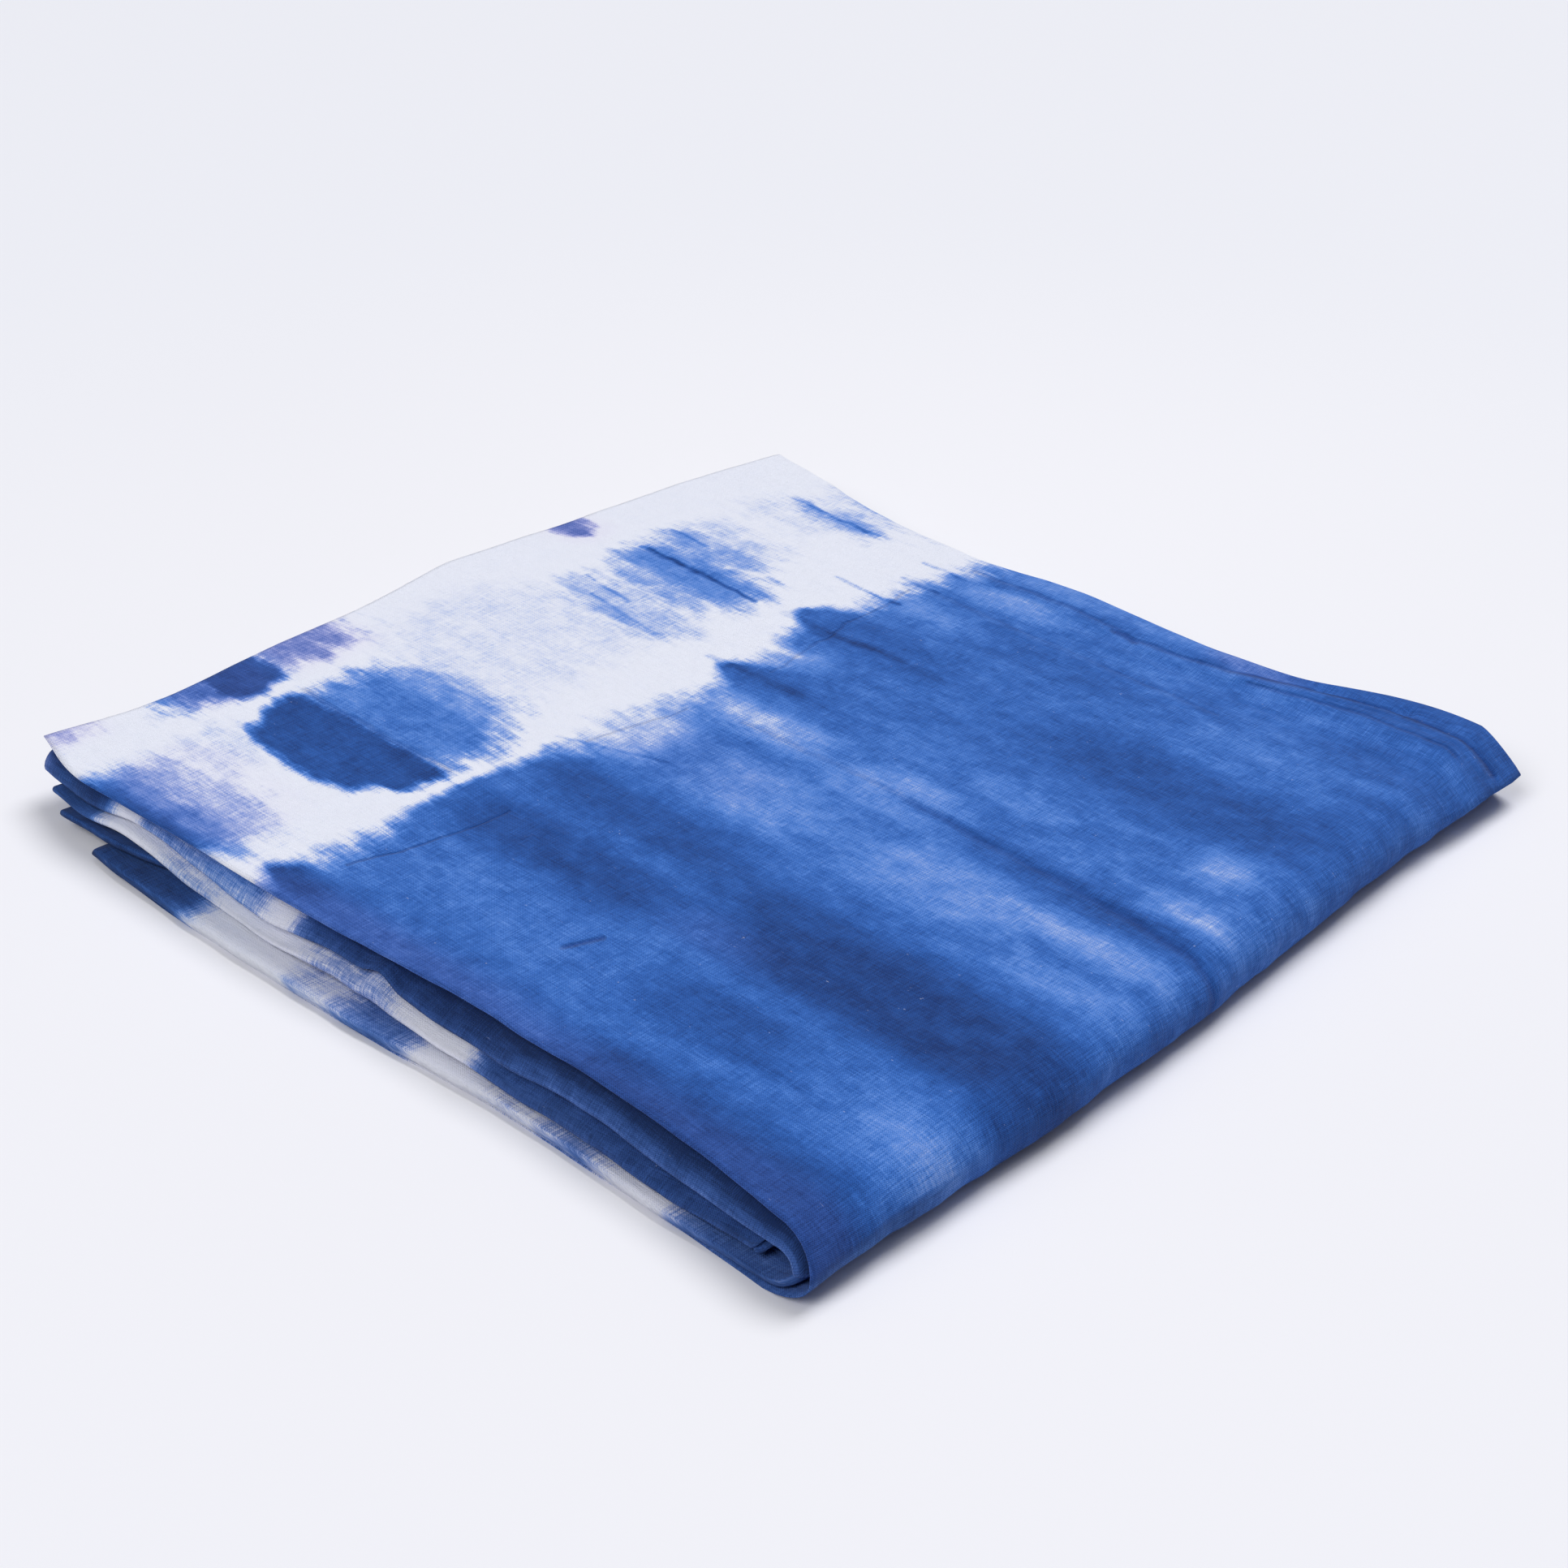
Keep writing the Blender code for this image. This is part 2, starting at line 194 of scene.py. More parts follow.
# The bend's unevenness: wave lengths along the bend, and how far it stands out or in
BEND_WAVES = (
    ("along", "far"),
    (26.0, 1.5),
    (8.0, 0.7),
)
WAVE_ROUND = 2.0  # how fast those waves change on the way round it
# Where the inner lips are pushed in at the bend's front: the lip, the share of the way round, and how far
BEND_DIPS = (
    ("lip", "turn", "width", "far"),
    (1, 0.66, 0.11, 5.0),
    (3, 0.40, 0.15, 11.0),
    (3, 0.84, 0.06, -2.0),
)

# Where the bend's back corner is pinched to a point, and how much further it reaches there
PINCH_REACH = 3.0
PINCH_FROM = 100.0
PINCH_RUN = 75.0
PINCH_SHARP = 0.5
PINCH_LOW = 0.12  # how much lower the point is than the middle of the stack
BEND_SAG = 0.8  # under 1 for a bend that sags outwards in its lower half

# How far the inner layers' bends stand in at the front, where, and from which layer on
INNER_INSET = 9.0
INSET_FROM = -172.0
INSET_RUN = 18.0
INSET_DEPTH = 2.0

# How far the bend's front corner is lifted off the floor, and where
CORNER_LIFT = 3.0
LIFT_FROM = -145.0
LIFT_RUN = 40.0

# How finely the sheet is divided
OUTER_STOPS = 88  # across the top and the bottom layer
INNER_STOPS = 26  # across each of the others
TURN_STEPS = 8
UPPER_STEPS = 128
BEND_STEPS = 14
LOWER_STEPS = 58
BEND_ROW = UPPER_STEPS + BEND_STEPS // 2  # the line of corners half way round the bend
END_CROWDING = 0.6
FRONT_CROWDING = 1.7

# The dyed field's left border on the top, without its pleats
BORDER = (
    ("y", "x"),
    (-200, -56),
    (-100, -53),
    (0, -46),
    (100, -50),
    (190, -33),
)
# Pleats that carried the dye past that border. A crisp one ends sharply, and the border is soft between them
PLEATS = (
    ("y", "half", "reach", "crisp"),
    (-183, 7, 10, 0.8),
    (-128, 13, 4, 0.6),
    (-100, 24, 7, 1.0),
    (-72, 9, 3, 0.5),
    (-30, 16, 7, 0.0),
    (22, 7, 15, 1.0),
    (57, 7, 9, 0.4),
    (76, 11, 20, 1.0),
    (106, 5, 5, 0.6),
    (126, 4, 4, 0.3),
)
FIELD_DYE = 0.64
UNDER_DYE = 0.94  # the least dye on the lower half
STROKE_ROUND = 3.0  # 2 for an ellipse, more for a squarer stroke
TINY = 1e-6
OUTSIDE = -40.0  # the furthest that a place's distance from a stroke is followed

# Strokes of more or less dye inside that field, laid one over the other
FIELD_STROKES = (
    ("x0", "x1", "y0", "y1", "end", "side", "dye"),
    (-60, 110, 150, 175, 30, 8, 0.50),
    (100, 240, 148, 195, 30, 10, 0.76),
    (-50, 25, 128, 148, 25, 6, 0.40),
    (20, 130, 128, 148, 25, 6, 0.62),
    (120, 240, 118, 150, 30, 10, 0.72),
    (-60, 0, 96, 120, 20, 8, 0.48),
    (-20, 90, 92, 126, 40, 14, 0.72),
    (80, 170, 86, 122, 30, 10, 0.58),
    (150, 240, 60, 118, 30, 14, 0.72),
    (-75, 30, 58, 92, 25, 9, 0.72),
    (-80, 40, 67, 73, 40, 3, 0.84),
    (30, 215, 38, 94, 60, 22, 0.80),
    (-60, -20, 36, 58, 20, 8, 0.44),
    (-30, 60, 38, 60, 30, 9, 0.66),
    (-75, 10, 16, 32, 25, 6, 0.78),
    (10, 120, 12, 36, 30, 9, 0.58),
    (60, 120, 14, 30, 25, 7, 0.50),
    (146, 186, 16, 48, 20, 14, 0.35),
    (148, 200, -8, 18, 22, 12, 0.32),
    (-60, 30, -16, 16, 32, 13, 0.28),
    (10, 95, -22, 16, 34, 12, 0.42),
    (90, 160, 0, 18, 25, 7, 0.58),
    (-75, -14, -62, -8, 30, 16, 0.22),
    (-30, 70, -62, -12, 40, 16, 0.44),
    (50, 150, -62, -14, 38, 15, 0.42),
    (110, 208, -44, -18, 40, 13, 0.33),
    (130, 210, -66, -42, 30, 10, 0.46),
    (190, 240, -75, 10, 14, 14, 0.86),
    (-70, 70, -94, -60, 35, 10, 0.80),
    (20, 240, -112, -64, 60, 16, 0.84),
    (-70, 70, -132, -90, 40, 14, 0.84),
    (50, 240, -128, -74, 60, 18, 0.92),
    (-60, 70, -166, -130, 30, 12, 0.60),
    (60, 150, -160, -124, 35, 12, 0.80),
    (150, 230, -164, -124, 35, 16, 0.45),
    (-60, 100, -198, -166, 30, 12, 0.68),
    (-84, -30, -192, -174, 12, 6, 0.84),
    (60, 240, -205, -162, 35, 10, 0.82),
    (40, 215, -9, 1, 50, 4, 0.78),
    (90, 215, -18, -5, 40, 5, 0.80),
)

# Blots of dye on the undyed part, with a crisp edge
BARS = (
    ("x0", "x1", "y0", "y1", "dye"),
    (-214, -170, -113, -96, 0.80),
    (-214, -166.5, -125, -105, 0.84),
    (-212, -184, 60, 74, 0.50),
    (-156, -70, -130, -102.5, 0.84),
    (-158, -124, -119, -102.5, 0.84),
    (-104, -68.5, -118, -102.5, 0.90),
    (-150, -80, -139, -110, 0.82),
)
# Blots of dye with a soft edge
CLOUDS = (
    ("x0", "x1", "y0", "y1", "dye"),
    (-206, -176, -98, -60, 0.44),
    (-210, -174, -142, -112, 0.62),
    (-210, -190, -198, -176, 0.30),
    (-142, -86, -80, -54, 0.36),
    (-152, -72, -116, -64, 0.56),
    (-156, -126, -160, -138, 0.12),
    (-156, -80, -186, -164, 0.24),
    (-156, -80, -198, -176, 0.46),
    (-156, -84, -208, -179, 0.78),
    (-158, -106, 80, 100, 0.30),
    (-158, -132, 87, 95, 0.40),
    (-158, -86, 52, 82, 0.46),
    (-156, -96, 60, 80, 0.64),
    (-150, -98, 42, 60, 0.28),
    (-150, -112, 98, 112, 0.14),
    (-156, -86, 20, 40, 0.20),
    (-154, -124, 32, 38, 0.36),
    (-140, -92, 16, 28, 0.28),
    (-150, -118, -42, -26, 0.14),
    (-152, -134, -38, -32, 0.30),
    (-142, -92, 144, 154, 0.36),
    (-134, -72, 162, 176, 0.22),
    (-158, -112, 128, 141, 0.08),
    (-180, -90, -60, 20, 0.07),
)
# Thin lines of dye, where a pressed pleat held more of it
DYE_LINES = (
    ("x0", "y0", "x1", "y1", "half", "dye"),
    (-156, 72, -87, 69, 1.0, 0.34),
    (-72, 70, -10, 71, 1.6, 0.12),
    (-66, 23, -20, 25, 1.5, 0.13),
    (-136, 151, -94, 149, 1.0, 0.26),
    (-154, 39, -124, 33, 0.9, 0.20),
    (-140, 28, -96, 21, 0.9, 0.16),
    (-158, 92, -136, 90, 0.9, 0.22),
    (-80, 107, -46, 107, 1.1, 0.26),
    (-62, 143, -40, 142, 1.2, 0.22),
    (-62, -60, -20, -44, 0.9, 0.16),
    (-60, 126, -40, 126, 1.0, 0.18),
)
# How softly each kind of edge ends, and how ragged it is
SOFT_BLUR = 12.0
CRISP_BLUR = 2.6
BAR_BLUR = 4.0
CLOUD_BLUR = 11.0
SOFT_RAGGED = 1.5
CRISP_RAGGED = 0.32
BAR_RAGGED = 0.6
CLOUD_RAGGED = 1.8
WEIGHT_RUN = 3.0  # how soon the deeper of two blots sets the dye

# The front lips' dye from the ends to the bend
LIP_A = (
    ("x", "dye"),
    (-200, 0.42), (-192, 0.5), (-184, 0.86), (-153, 0.9), (-146, 0.1), (-136, 0.03), (-129, 0.34),
    (-66, 0.42), (-57, 0.1), (-46, 0.03), (-38, 0.7), (-10, 0.84), (12, 0.92), (55, 0.9), (80, 0.78),
    (200, 0.74),
)
LIP_B = (
    ("x", "dye"),
    (-200, 0.72), (-158, 0.74), (-151, 0.1), (-120, 0.03), (-108, 0.16), (-88, 0.16), (-78, 0.03),
    (-38, 0.04), (-28, 0.22), (4, 0.24), (14, 0.05), (46, 0.03), (54, 0.6), (70, 0.8), (200, 0.82),
)
LIP_C = (
    ("x", "dye"),
    (-200, 0.86), (-115, 0.88), (-105, 0.1), (-50, 0.08), (-44, 0.7), (-10, 0.68), (6, 0.3),
    (30, 0.05), (44, 0.1), (54, 0.78), (200, 0.84),
)
LIP_D = (
    ("x", "dye"),
    (-200, 0.88), (-97, 0.84), (-88, 0.3), (-81, 0.03), (-37, 0.03), (-30, 0.26), (-16, 0.12),
    (-4, 0.5), (10, 0.58), (20, 0.5), (28, 0.05), (58, 0.03), (66, 0.16), (82, 0.12), (88, 0.38),
    (106, 0.38), (113, 0.1), (139, 0.06), (147, 0.6), (200, 0.74),
)
# The front lips' indigo is painted greyer, less red and more violet, as painted shade of the front faces
LIP_SHADE_VIOLET = 0.15
LIP_SHADE_GREY = 0.06  # how much greyer the painted shade makes the indigo on the lips
LIP_SHADE_COOL = 0.5  # how much less red that painted shade makes it there
LIP_EDGES = (1.85, 3.85)  # where each lip's lower edge lies in the sheet's depth, which is paler
LIP_EDGE_HALF = 0.13
LIP_EDGE_FADE = 0.12
LIP_SPLIT = 2.5  # the depth where the first lip's dye ends and the second's starts
LIP_GAP_SHADE = 0.5  # painted shade: darker colour where the first lip turns in under the top's overhang
GAP_SHADE_RUN = 0.5  # how soon that painted shade fades, in depth
INSIDE_DYE = 0.3  # only where the lip is dyed more than this
TOP_DEPTH = 0.5  # where the top's own dye starts to give way to the lips'
TOP_FADE = 0.4
LIP_REACH = 30.0  # how far in from the front the lips' dye keeps on
LIP_FADE = 40.0

# Where the indigo leans to violet
VIOLETS = (
    ("x0", "x1", "y0", "y1", "end", "side", "violet"),
    (-215, -160, -105, -45, 12, 16, 0.9),
    (-215, -160, -145, -95, 12, 10, 0.6),
    (-215, -170, 50, 84, 10, 8, 1.0),
    (-215, -176, -200, -160, 12, 10, 1.0),
    (-165, -75, -200, -140, 14, 12, 0.5),
    (-80, 240, -215, -168, 30, 20, 0.55),
    (-60, 30, -62, -10, 20, 20, 0.12),
    (60, 120, 148, 180, 20, 8, 0.5),
    (40, 110, -125, -95, 30, 12, 0.3),
)

# Pressed lines in the top, sunk by the bump and darkened with painted shadow
CREASES = (
    ("x0", "y0", "x1", "y1", "half", "deep"),
    (-50, 120, -49, 84, 0.5, 0.6),
    (-49, 84, -45, 58, 0.5, 0.7),
    (-45, 58, -41, 30, 0.5, 0.5),
    (-43, -12, -52, -55, 0.5, 0.5),
    (-36, -105, -38, -132, 0.5, 0.7),
    (-38, -132, -49, -166, 0.6, 0.9),
    (47, -137, 42, -148, 1.1, 1.3),
    (34, 147, 44, 145, 1.2, 1.2),
    (-152, 71, -88, 69, 1.2, 0.5),
    (-158, -102, -70, -103, 1.0, 0.6),
    (-42, 151, 34, 149, 0.9, 0.7),
    (44, 146, 84, 151, 1.0, 0.9),
    (84, 151, 112, 160, 1.4, 1.2),
    (112, 160, 142, 169, 1.6, 1.3),
    (142, 169, 192, 168, 1.6, 1.2),
    (95, 148, 140, 156, 1.0, 0.8),
    (140, 156, 180, 156, 1.0, 0.7),
    (-50, 126, 100, 122, 0.9, 0.35),
    (-20, -4, 60, -3, 1.2, 0.4),
    (60, -3, 150, -8, 1.6, 0.6),
    (150, -8, 206, -15, 1.8, 0.8),
)

# Raised lines beside the pressed ones
RIDGES = (
    ("x0", "y0", "x1", "y1", "half", "high"),
    (-42, 147, 34, 145, 1.6, 0.7),
    (44, 142, 84, 147, 1.8, 0.8),
    (84, 147, 112, 156, 2.0, 1.3),
    (112, 156, 142, 165, 2.2, 1.5),
    (142, 165, 190, 164, 2.2, 1.4),
    (-50, 122, 100, 118, 2.0, 0.6),
    (20, 136, 120, 134, 2.4, 0.6),
    (100, 140, 170, 140, 2.4, 0.6),
    (60, 1, 150, -4, 2.4, 0.6),
    (150, -4, 204, -10, 2.4, 0.6),
    (-46, 118, -45, 84, 0.9, 0.5),
    (-156, -100, -72, -101, 1.2, 0.6),
    (-60, -100, -10, -103, 1.4, 0.4),
)

# The cotton's threads
PITCH_X = 0.43  # between threads, along X
PITCH_Y = 0.365

# The indigo from undyed to deepest, plain and leaning to violet
BLUE_STEPS = (
    (0.00, (234, 237, 250)),
    (0.08, (221, 226, 245)),
    (0.20, (168, 188, 235)),
    (0.34, (118, 154, 226)),
    (0.48, (85, 135, 218)),
    (0.62, (54, 107, 193)),
    (0.78, (38, 85, 163)),
    (0.90, (31, 70, 139)),
    (1.00, (24, 54, 114)),
)
VIOLET_STEPS = (
    (0.00, (233, 234, 249)),
    (0.08, (219, 219, 242)),
    (0.20, (178, 181, 229)),
    (0.34, (136, 146, 210)),
    (0.48, (98, 118, 192)),
    (0.62, (70, 96, 174)),
    (0.78, (52, 78, 150)),
    (0.90, (42, 64, 128)),
    (1.00, (32, 50, 104)),
)
SLUB_COLOUR = (196, 206, 238)
CREASE_SHADOW_COLOUR = (70, 92, 150)  # painted shadow: what a pressed line multiplies the colour by
LIP_SHADE_COLOUR = (130, 215, 215)  # and what the lips' painted shade multiplies it by

# Noise on the flat cloth: how long and wide its grains are, and where it starts
GRAINS = (
    ("name", "along", "across", "start", "detail", "rough"),
    ("streaks", 12.0, 1.5, 3.1, 2.0, 0.5),
    ("tufts", 12.0, 4.5, 8.2, 3.0, 0.55),
    ("fingers", 22.0, 7.0, 11.4, 2.0, 0.5),
    ("wisps", 34.0, 9.0, 7.7, 3.0, 0.5),
    ("mottle", 11.0, 8.0, 1.9, 4.0, 0.6),
    ("weft", 8.5, 0.58, 5.3, 2.0, 0.7),
    ("warp", 0.58, 8.5, 9.9, 2.0, 0.7),
    ("slubs", 1.5, 0.7, 21.0, 0.0, 0.5),
    ("rare", 7.0, 5.0, 2.2, 0.0, 0.5),
    ("ruffle", 26.0, 9.0, 4.4, 3.0, 0.5),
    ("fine", 5.0, 3.0, 6.6, 2.0, 0.5),
    ("wobble", 14.0, 14.0, 17.0, 2.0, 0.5),
)
START_LEAN = 0.7  # how far across a noise starts, for each step along
# Which of them feather the edges of the dye, in mm, and the lips' dye, and which vary it everywhere
FEATHER = (("streaks", 5.0), ("tufts", 7.0), ("fingers", 10.0), ("warp", 2.5))
LIP_FEATHER = (("streaks", 0.35), ("tufts", 0.45), ("warp", 0.35))
SPREAD = (("wisps", 0.26), ("mottle", 0.36), ("weft", 0.46), ("warp", 0.46), ("threads", 0.26))
# What raises the surface, in mm
RELIEF = (
    ("weave", 0.08), ("weft", 0.34), ("warp", 0.34), ("ruffle", 1.0), ("fine", 0.14),
    ("crease", -1.1), ("ridge", 1.0),
)
# How freely the lips' dye is feathered, and all dye varies, by how much of it there is
LIP_OPEN = ((0.00, 0.0), (0.10, 0.3), (0.35, 1.0), (0.80, 0.1))
LOOSE = ((0.00, 0.14), (0.08, 0.55), (0.30, 0.9), (0.52, 0.76), (0.72, 0.68), (1.00, 0.50))
LINE_MOTTLE = (0.3, 0.6, 0.4, 1.0)  # the mottle's span, and the share of a thin dye line there
SLUB_SPAN = (0.8, 0.86)  # a pale slub shows where both of these noises are as high
RARE_SPAN = (0.78, 0.84)
SLUB_SHARE = 0.35
# how much of the pressed lines' painted shadow is laid on
CREASE_SHADOW_SHARE = 0.42
WOBBLE = 5.0  # how far the thin lines wander
WOBBLE_LEAN = 0.6
BUMP = 0.8
ROUGH_SPAN = (0.3, 0.7, 0.82, 0.94)  # the mottle's span, and the roughness there
SPECULAR = 0.12
SHEEN = 0.06
SHEEN_ROUGH = 0.5


def read(table, column, at):
    """The column's value at this place in the table's first column, on a smooth curve through its rows."""
    names, rows = table[0], table[1:]
    pick = names.index(column)
    stops = [row[0] for row in rows]
    at = min(max(at, stops[0]), stops[-1])
    i = min(max(bisect.bisect_right(stops, at) - 1, 0), len(rows) - 2)
    span = stops[i + 1] - stops[i]
    t = (at - stops[i]) / span
    low, high = rows[i][pick], rows[i + 1][pick]

    def slope(k):
        before, after = max(k - 1, 0), min(k + 1, len(rows) - 1)
        return (rows[after][pick] - rows[before][pick]) / (stops[after] - stops[before])

    bow = t * (1 - t) * span * ((1 - t) * slope(i) - t * slope(i + 1))
    return low + (high - low) * smooth(t) + bow


def smooth(t):
    """0 to 1 with a level start and end."""
    t = min(max(t, 0.0), 1.0)
    return t * t * (3 - 2 * t)


def mix(low, high, t):
    """The value this far from low to high."""
    return low + (high - low) * t


def by_depth(values, depth):
    """A value between the layers' own, for a place this deep in the stack."""
    i = min(int(depth), LAYERS - 2)
    return mix(values[i], values[i + 1], depth - i)


def stretch_share(row, x, y):
    """1 on a soft fold's line, fading to 0 at its sides and past its ends."""
    x0, y0, x1, y1, half = row[:5]
    run = math.hypot(x1 - x0, y1 - y0)
    along = ((x - x0) * (x1 - x0) + (y - y0) * (y1 - y0)) / run
    across = ((x - x0) * (y1 - y0) - (y - y0) * (x1 - x0)) / run
    past = max(-along, along - run, 0.0)
    return math.exp(-(across * across + past * past) / (half * half))


def swell(x, y):
    """The cotton's own unevenness here."""
    total = 0.0
    for along, across, high in SWELLS[1:]:
        total += high * noise.noise(Vector((x / along, y / across, high)))
    return total


def relief(x, y):
    """How far the top rises or sinks here from its even height."""
    folds = sum(row[-1] * stretch_share(row, x, y) for row in TOP_FOLDS[1:])
    end = read(END_LINE, "x", y)
    return folds + swell(x, y) - END_DROOP * smooth((end + END_REACH - x) / END_REACH)


def even_rise(layer):
    """A layer's height over or under the heart of the stack, with the layers evenly spaced."""
    step = (STACK - SPACING_SHEET - HEART) / 2 / (LAYERS - 1)
    return HEART / 2 + (LAYERS - 1 - layer) * step


def layer_height(half, layer, x, y):
    """The height of one layer's middle in the upper or lower half of the folded cloth."""
    rise = even_rise(layer)
    if half == "upper":
        inner = STACK / 2 + rise * (1 + relief(x, y) / even_rise(0))
        edge = read(UPPER_FRONT, UPPER_HEIGHTS[layer], x)
        if layer >= UPPER_HEIGHTS.index("b_high"):
            edge -= read(UPPER_FRONT, "b_droop", x) * smooth((DROOP_FROM - y) / DROOP_RUN)
    else:
        inner = STACK / 2 - rise
        edge = read(LOWER_FRONT, LOWER_HEIGHTS[layer], x) if layer else SHEET / 2
        inner = inner if layer else SHEET / 2
    return mix(inner, edge, smooth((FRONT_SIDE + FRONT_EASE - y) / FRONT_EASE))


def height(half, depth, x, y):
    """The sheet's height at this depth in the stack, in a layer or in the turn between two."""
    i = min(int(depth), LAYERS - 2)
    share = depth - i
    low = layer_height(half, i, x, y) if share < 1 else 0.0
    high = layer_height(half, i + 1, x, y) if share > 0 else 0.0
    return mix(low, high, share)


def end_x(half, depth, y):
    """Where the cloth's end stands on the -X side, at this depth."""
    if half == "upper":
        inset = by_depth(UPPER_END_INSET, depth)
    else:
        front = smooth((LOWER_END_TURN - y) / LOWER_END_FADE)
        inset = mix(by_depth(LOWER_BACK_INSET, depth), by_depth(LOWER_FRONT_INSET, depth), front)
    return read(END_LINE, "x", y) + inset


def bend_start(depth, y):
    """Where the fold in half starts, at this depth."""
    front = smooth((INSET_FROM - y) / INSET_RUN)
    return read(BEND_LINE, "x", y) - INNER_INSET * front * smooth(depth - INSET_DEPTH)


def flat_x(half, depth, y, share):
    """X at this share of the way from the cloth's end to the bend."""
    return mix(end_x(half, depth, y), bend_start(depth, y), share)


def nose(half, depth, x, y):
    """How far the turn between this layer and the next bulges past them."""
    gap = abs(height(half, depth, x, y) - height(half, depth + 1, x, y))
    return min(ROUND_GAIN * gap / 2, ROUND_NOSE)


def wander(x, start):
    """How far a folded edge stands out or in here."""
    return LIP_WOBBLE * noise.noise(Vector((x / LIP_WAVE, start, LIP_SLICE)))


def edges(half, share):
    """Where the folds lie across one half, this far from the cloth's end to the bend: each lip's y, the bulge
    of the turn after each layer, and how far the first front turn's two layers stand in."""
    sides = {"front": FRONT_SIDE, "back": BACK_SIDE}
    x = {side: [flat_x(half, depth, y, share) for depth in range(LAYERS)] for side, y in sides.items()}
    lips = {}
    for lip, side, layer, table, column, start, part in LIPS[half][1:]:
        at = x[side][layer]
        lips[lip] = read(table, column, at) + part * wander(at, start)
    if half == "upper":
        leans = (read(UPPER_FRONT, "a_lean", x["front"][1]), 0.0)
    else:
        leans = (0.0, read(LOWER_FRONT, "d_lean", x["front"][1]))
    turns = range(LAYERS - 1)
    noses = [nose(half, turn, x["front" if turn % 2 else "back"][turn], lips[turn]) for turn in turns]
    return lips, noses, leans


def outer_stops():
    """Even shares of an outer layer's width, closer together at both of its sides."""
    return [smooth_run(k / OUTER_STOPS) for k in range(OUTER_STOPS + 1)]


def inner_stops():
    """Shares of an inner layer's width, closer together at the front."""
    return [(k / INNER_STOPS) ** FRONT_CROWDING for k in range(INNER_STOPS + 1)]


def course(lips, noses, leans):
    """Depth and y of the sheet's corners over its width, from the top layer's free edge inwards."""
    fronts = (
        lips["free"],
        lips[1] + noses[1] + leans[0],
        lips[1] + noses[1] + leans[1],
        lips[3] + noses[3],
        lips[3] + noses[3],
    )
    backs = (lips[0] - noses[0], lips[0] - noses[0], lips[2] - noses[2], lips[2] - noses[2], lips["end"])
    path = []
    for layer in range(LAYERS):
        stops = inner_stops() if layer else outer_stops()
        to_back = layer % 2 == 0
        stops = stops if to_back else stops[::-1]
        path += [(layer, mix(fronts[layer], backs[layer], stop)) for stop in stops]
        if layer == LAYERS - 1:
            break
        ends, way = (backs, 1) if to_back else (fronts, -1)
        for k in range(1, TURN_STEPS):
            angle = math.pi * k / TURN_STEPS
            share = (1 - math.cos(angle)) / 2
            bulge = way * noses[layer] * math.sin(angle)
            path.append((layer + share, mix(ends[layer], ends[layer + 1], share) + bulge))
    return path


def flat_row(half, share):
    """One line of the sheet's corners across its width, in the upper or lower half: depth, x, y, z."""
    row = []
    for depth, y in course(*edges(half, share)):
        x = flat_x(half, depth, y, share)
        row.append((depth, x, y, height(half, depth, x, y)))
    return row


def bend_wave(y, turn):
    """How far the bend stands out or in here, fading to nothing where it starts and ends."""
    total = 0.0
    for along, far in BEND_WAVES[1:]:
        total += far * noise.noise(Vector((y / along, WAVE_ROUND * turn, along)))
    return total * math.sin(math.pi * turn)


def bend_row(turn):
    """One line of the sheet's corners across its width, this share of the way round the bend."""
    upper, lower = edges("upper", 1.0), edges("lower", 1.0)
    half = "upper" if turn < 0.5 else "lower"
    sag = BEND_SAG if turn > 0.5 else 1.0
    out = math.sin(math.pi * turn)
    level = abs(math.cos(math.pi * turn)) ** sag
    share = (1 - math.cos(math.pi * turn)) / 2
    lips = {key: mix(upper[0][key], lower[0][key], share) for key in upper[0]}
    for lip, place, width, far in BEND_DIPS[1:]:
        lips[lip] += far * math.exp(-((turn - place) / width) ** 2)
    noses = [mix(a, b, share) for a, b in zip(upper[1], lower[1])]
    leans = [mix(a, b, share) for a, b in zip(upper[2], lower[2])]
    row = []
    for depth, y in course(lips, noses, leans):
        start = bend_start(depth, y)
        heart = (height("upper", LAYERS - 1, start, y) + height("lower", LAYERS - 1, start, y)) / 2
        rise = abs(height(half, depth, start, y) - heart)
        reach = BEND_REACH - BEND_STEP * depth
        pinch = smooth((y - PINCH_FROM) / PINCH_RUN)
        around = mix(out ** sag, 1 - level, PINCH_SHARP * pinch)
        x = start + (reach + PINCH_REACH * pinch) * around + bend_wave(y, turn)
        z = heart + rise * math.copysign(level, 0.5 - turn)
        z *= 1 - PINCH_LOW * pinch * out
        lift = CORNER_LIFT * smooth((LIFT_FROM - y) / LIFT_RUN) * out
        row.append((depth, x, y, z + lift * max(1 - z / STACK, 0.0)))
    return row


def folded_corners():
    """Every corner of the folded sheet, as rows from the upper end, round the bend, to the lower end."""
    rows = [flat_row("upper", smooth_run(k / UPPER_STEPS)) for k in range(UPPER_STEPS + 1)]
    rows += [bend_row(k / BEND_STEPS) for k in range(1, BEND_STEPS)]
    rows += [flat_row("lower", smooth_run(1 - k / LOWER_STEPS)) for k in range(LOWER_STEPS + 1)]
    return np.array(rows)


def smooth_run(t):
    """Even steps, a little closer together at both ends."""
    return mix(t, smooth(t), END_CROWDING / 2)


def run_lengths(points, axis):
    """Length along the cloth in one direction, from its first corner."""
    steps = np.linalg.norm(np.diff(points, axis=axis), axis=-1)
    return np.insert(np.cumsum(steps, axis=axis), 0, 0.0, axis=axis)


def along_places(rows):
    """Each corner's place along the flat cloth: its x on the upper half, and onwards round the bend."""
    lengths = run_lengths(rows[UPPER_STEPS:, :, 1::2], 0)
    return np.vstack([rows[:UPPER_STEPS, :, 1], rows[UPPER_STEPS, :, 1][None, :] + lengths])


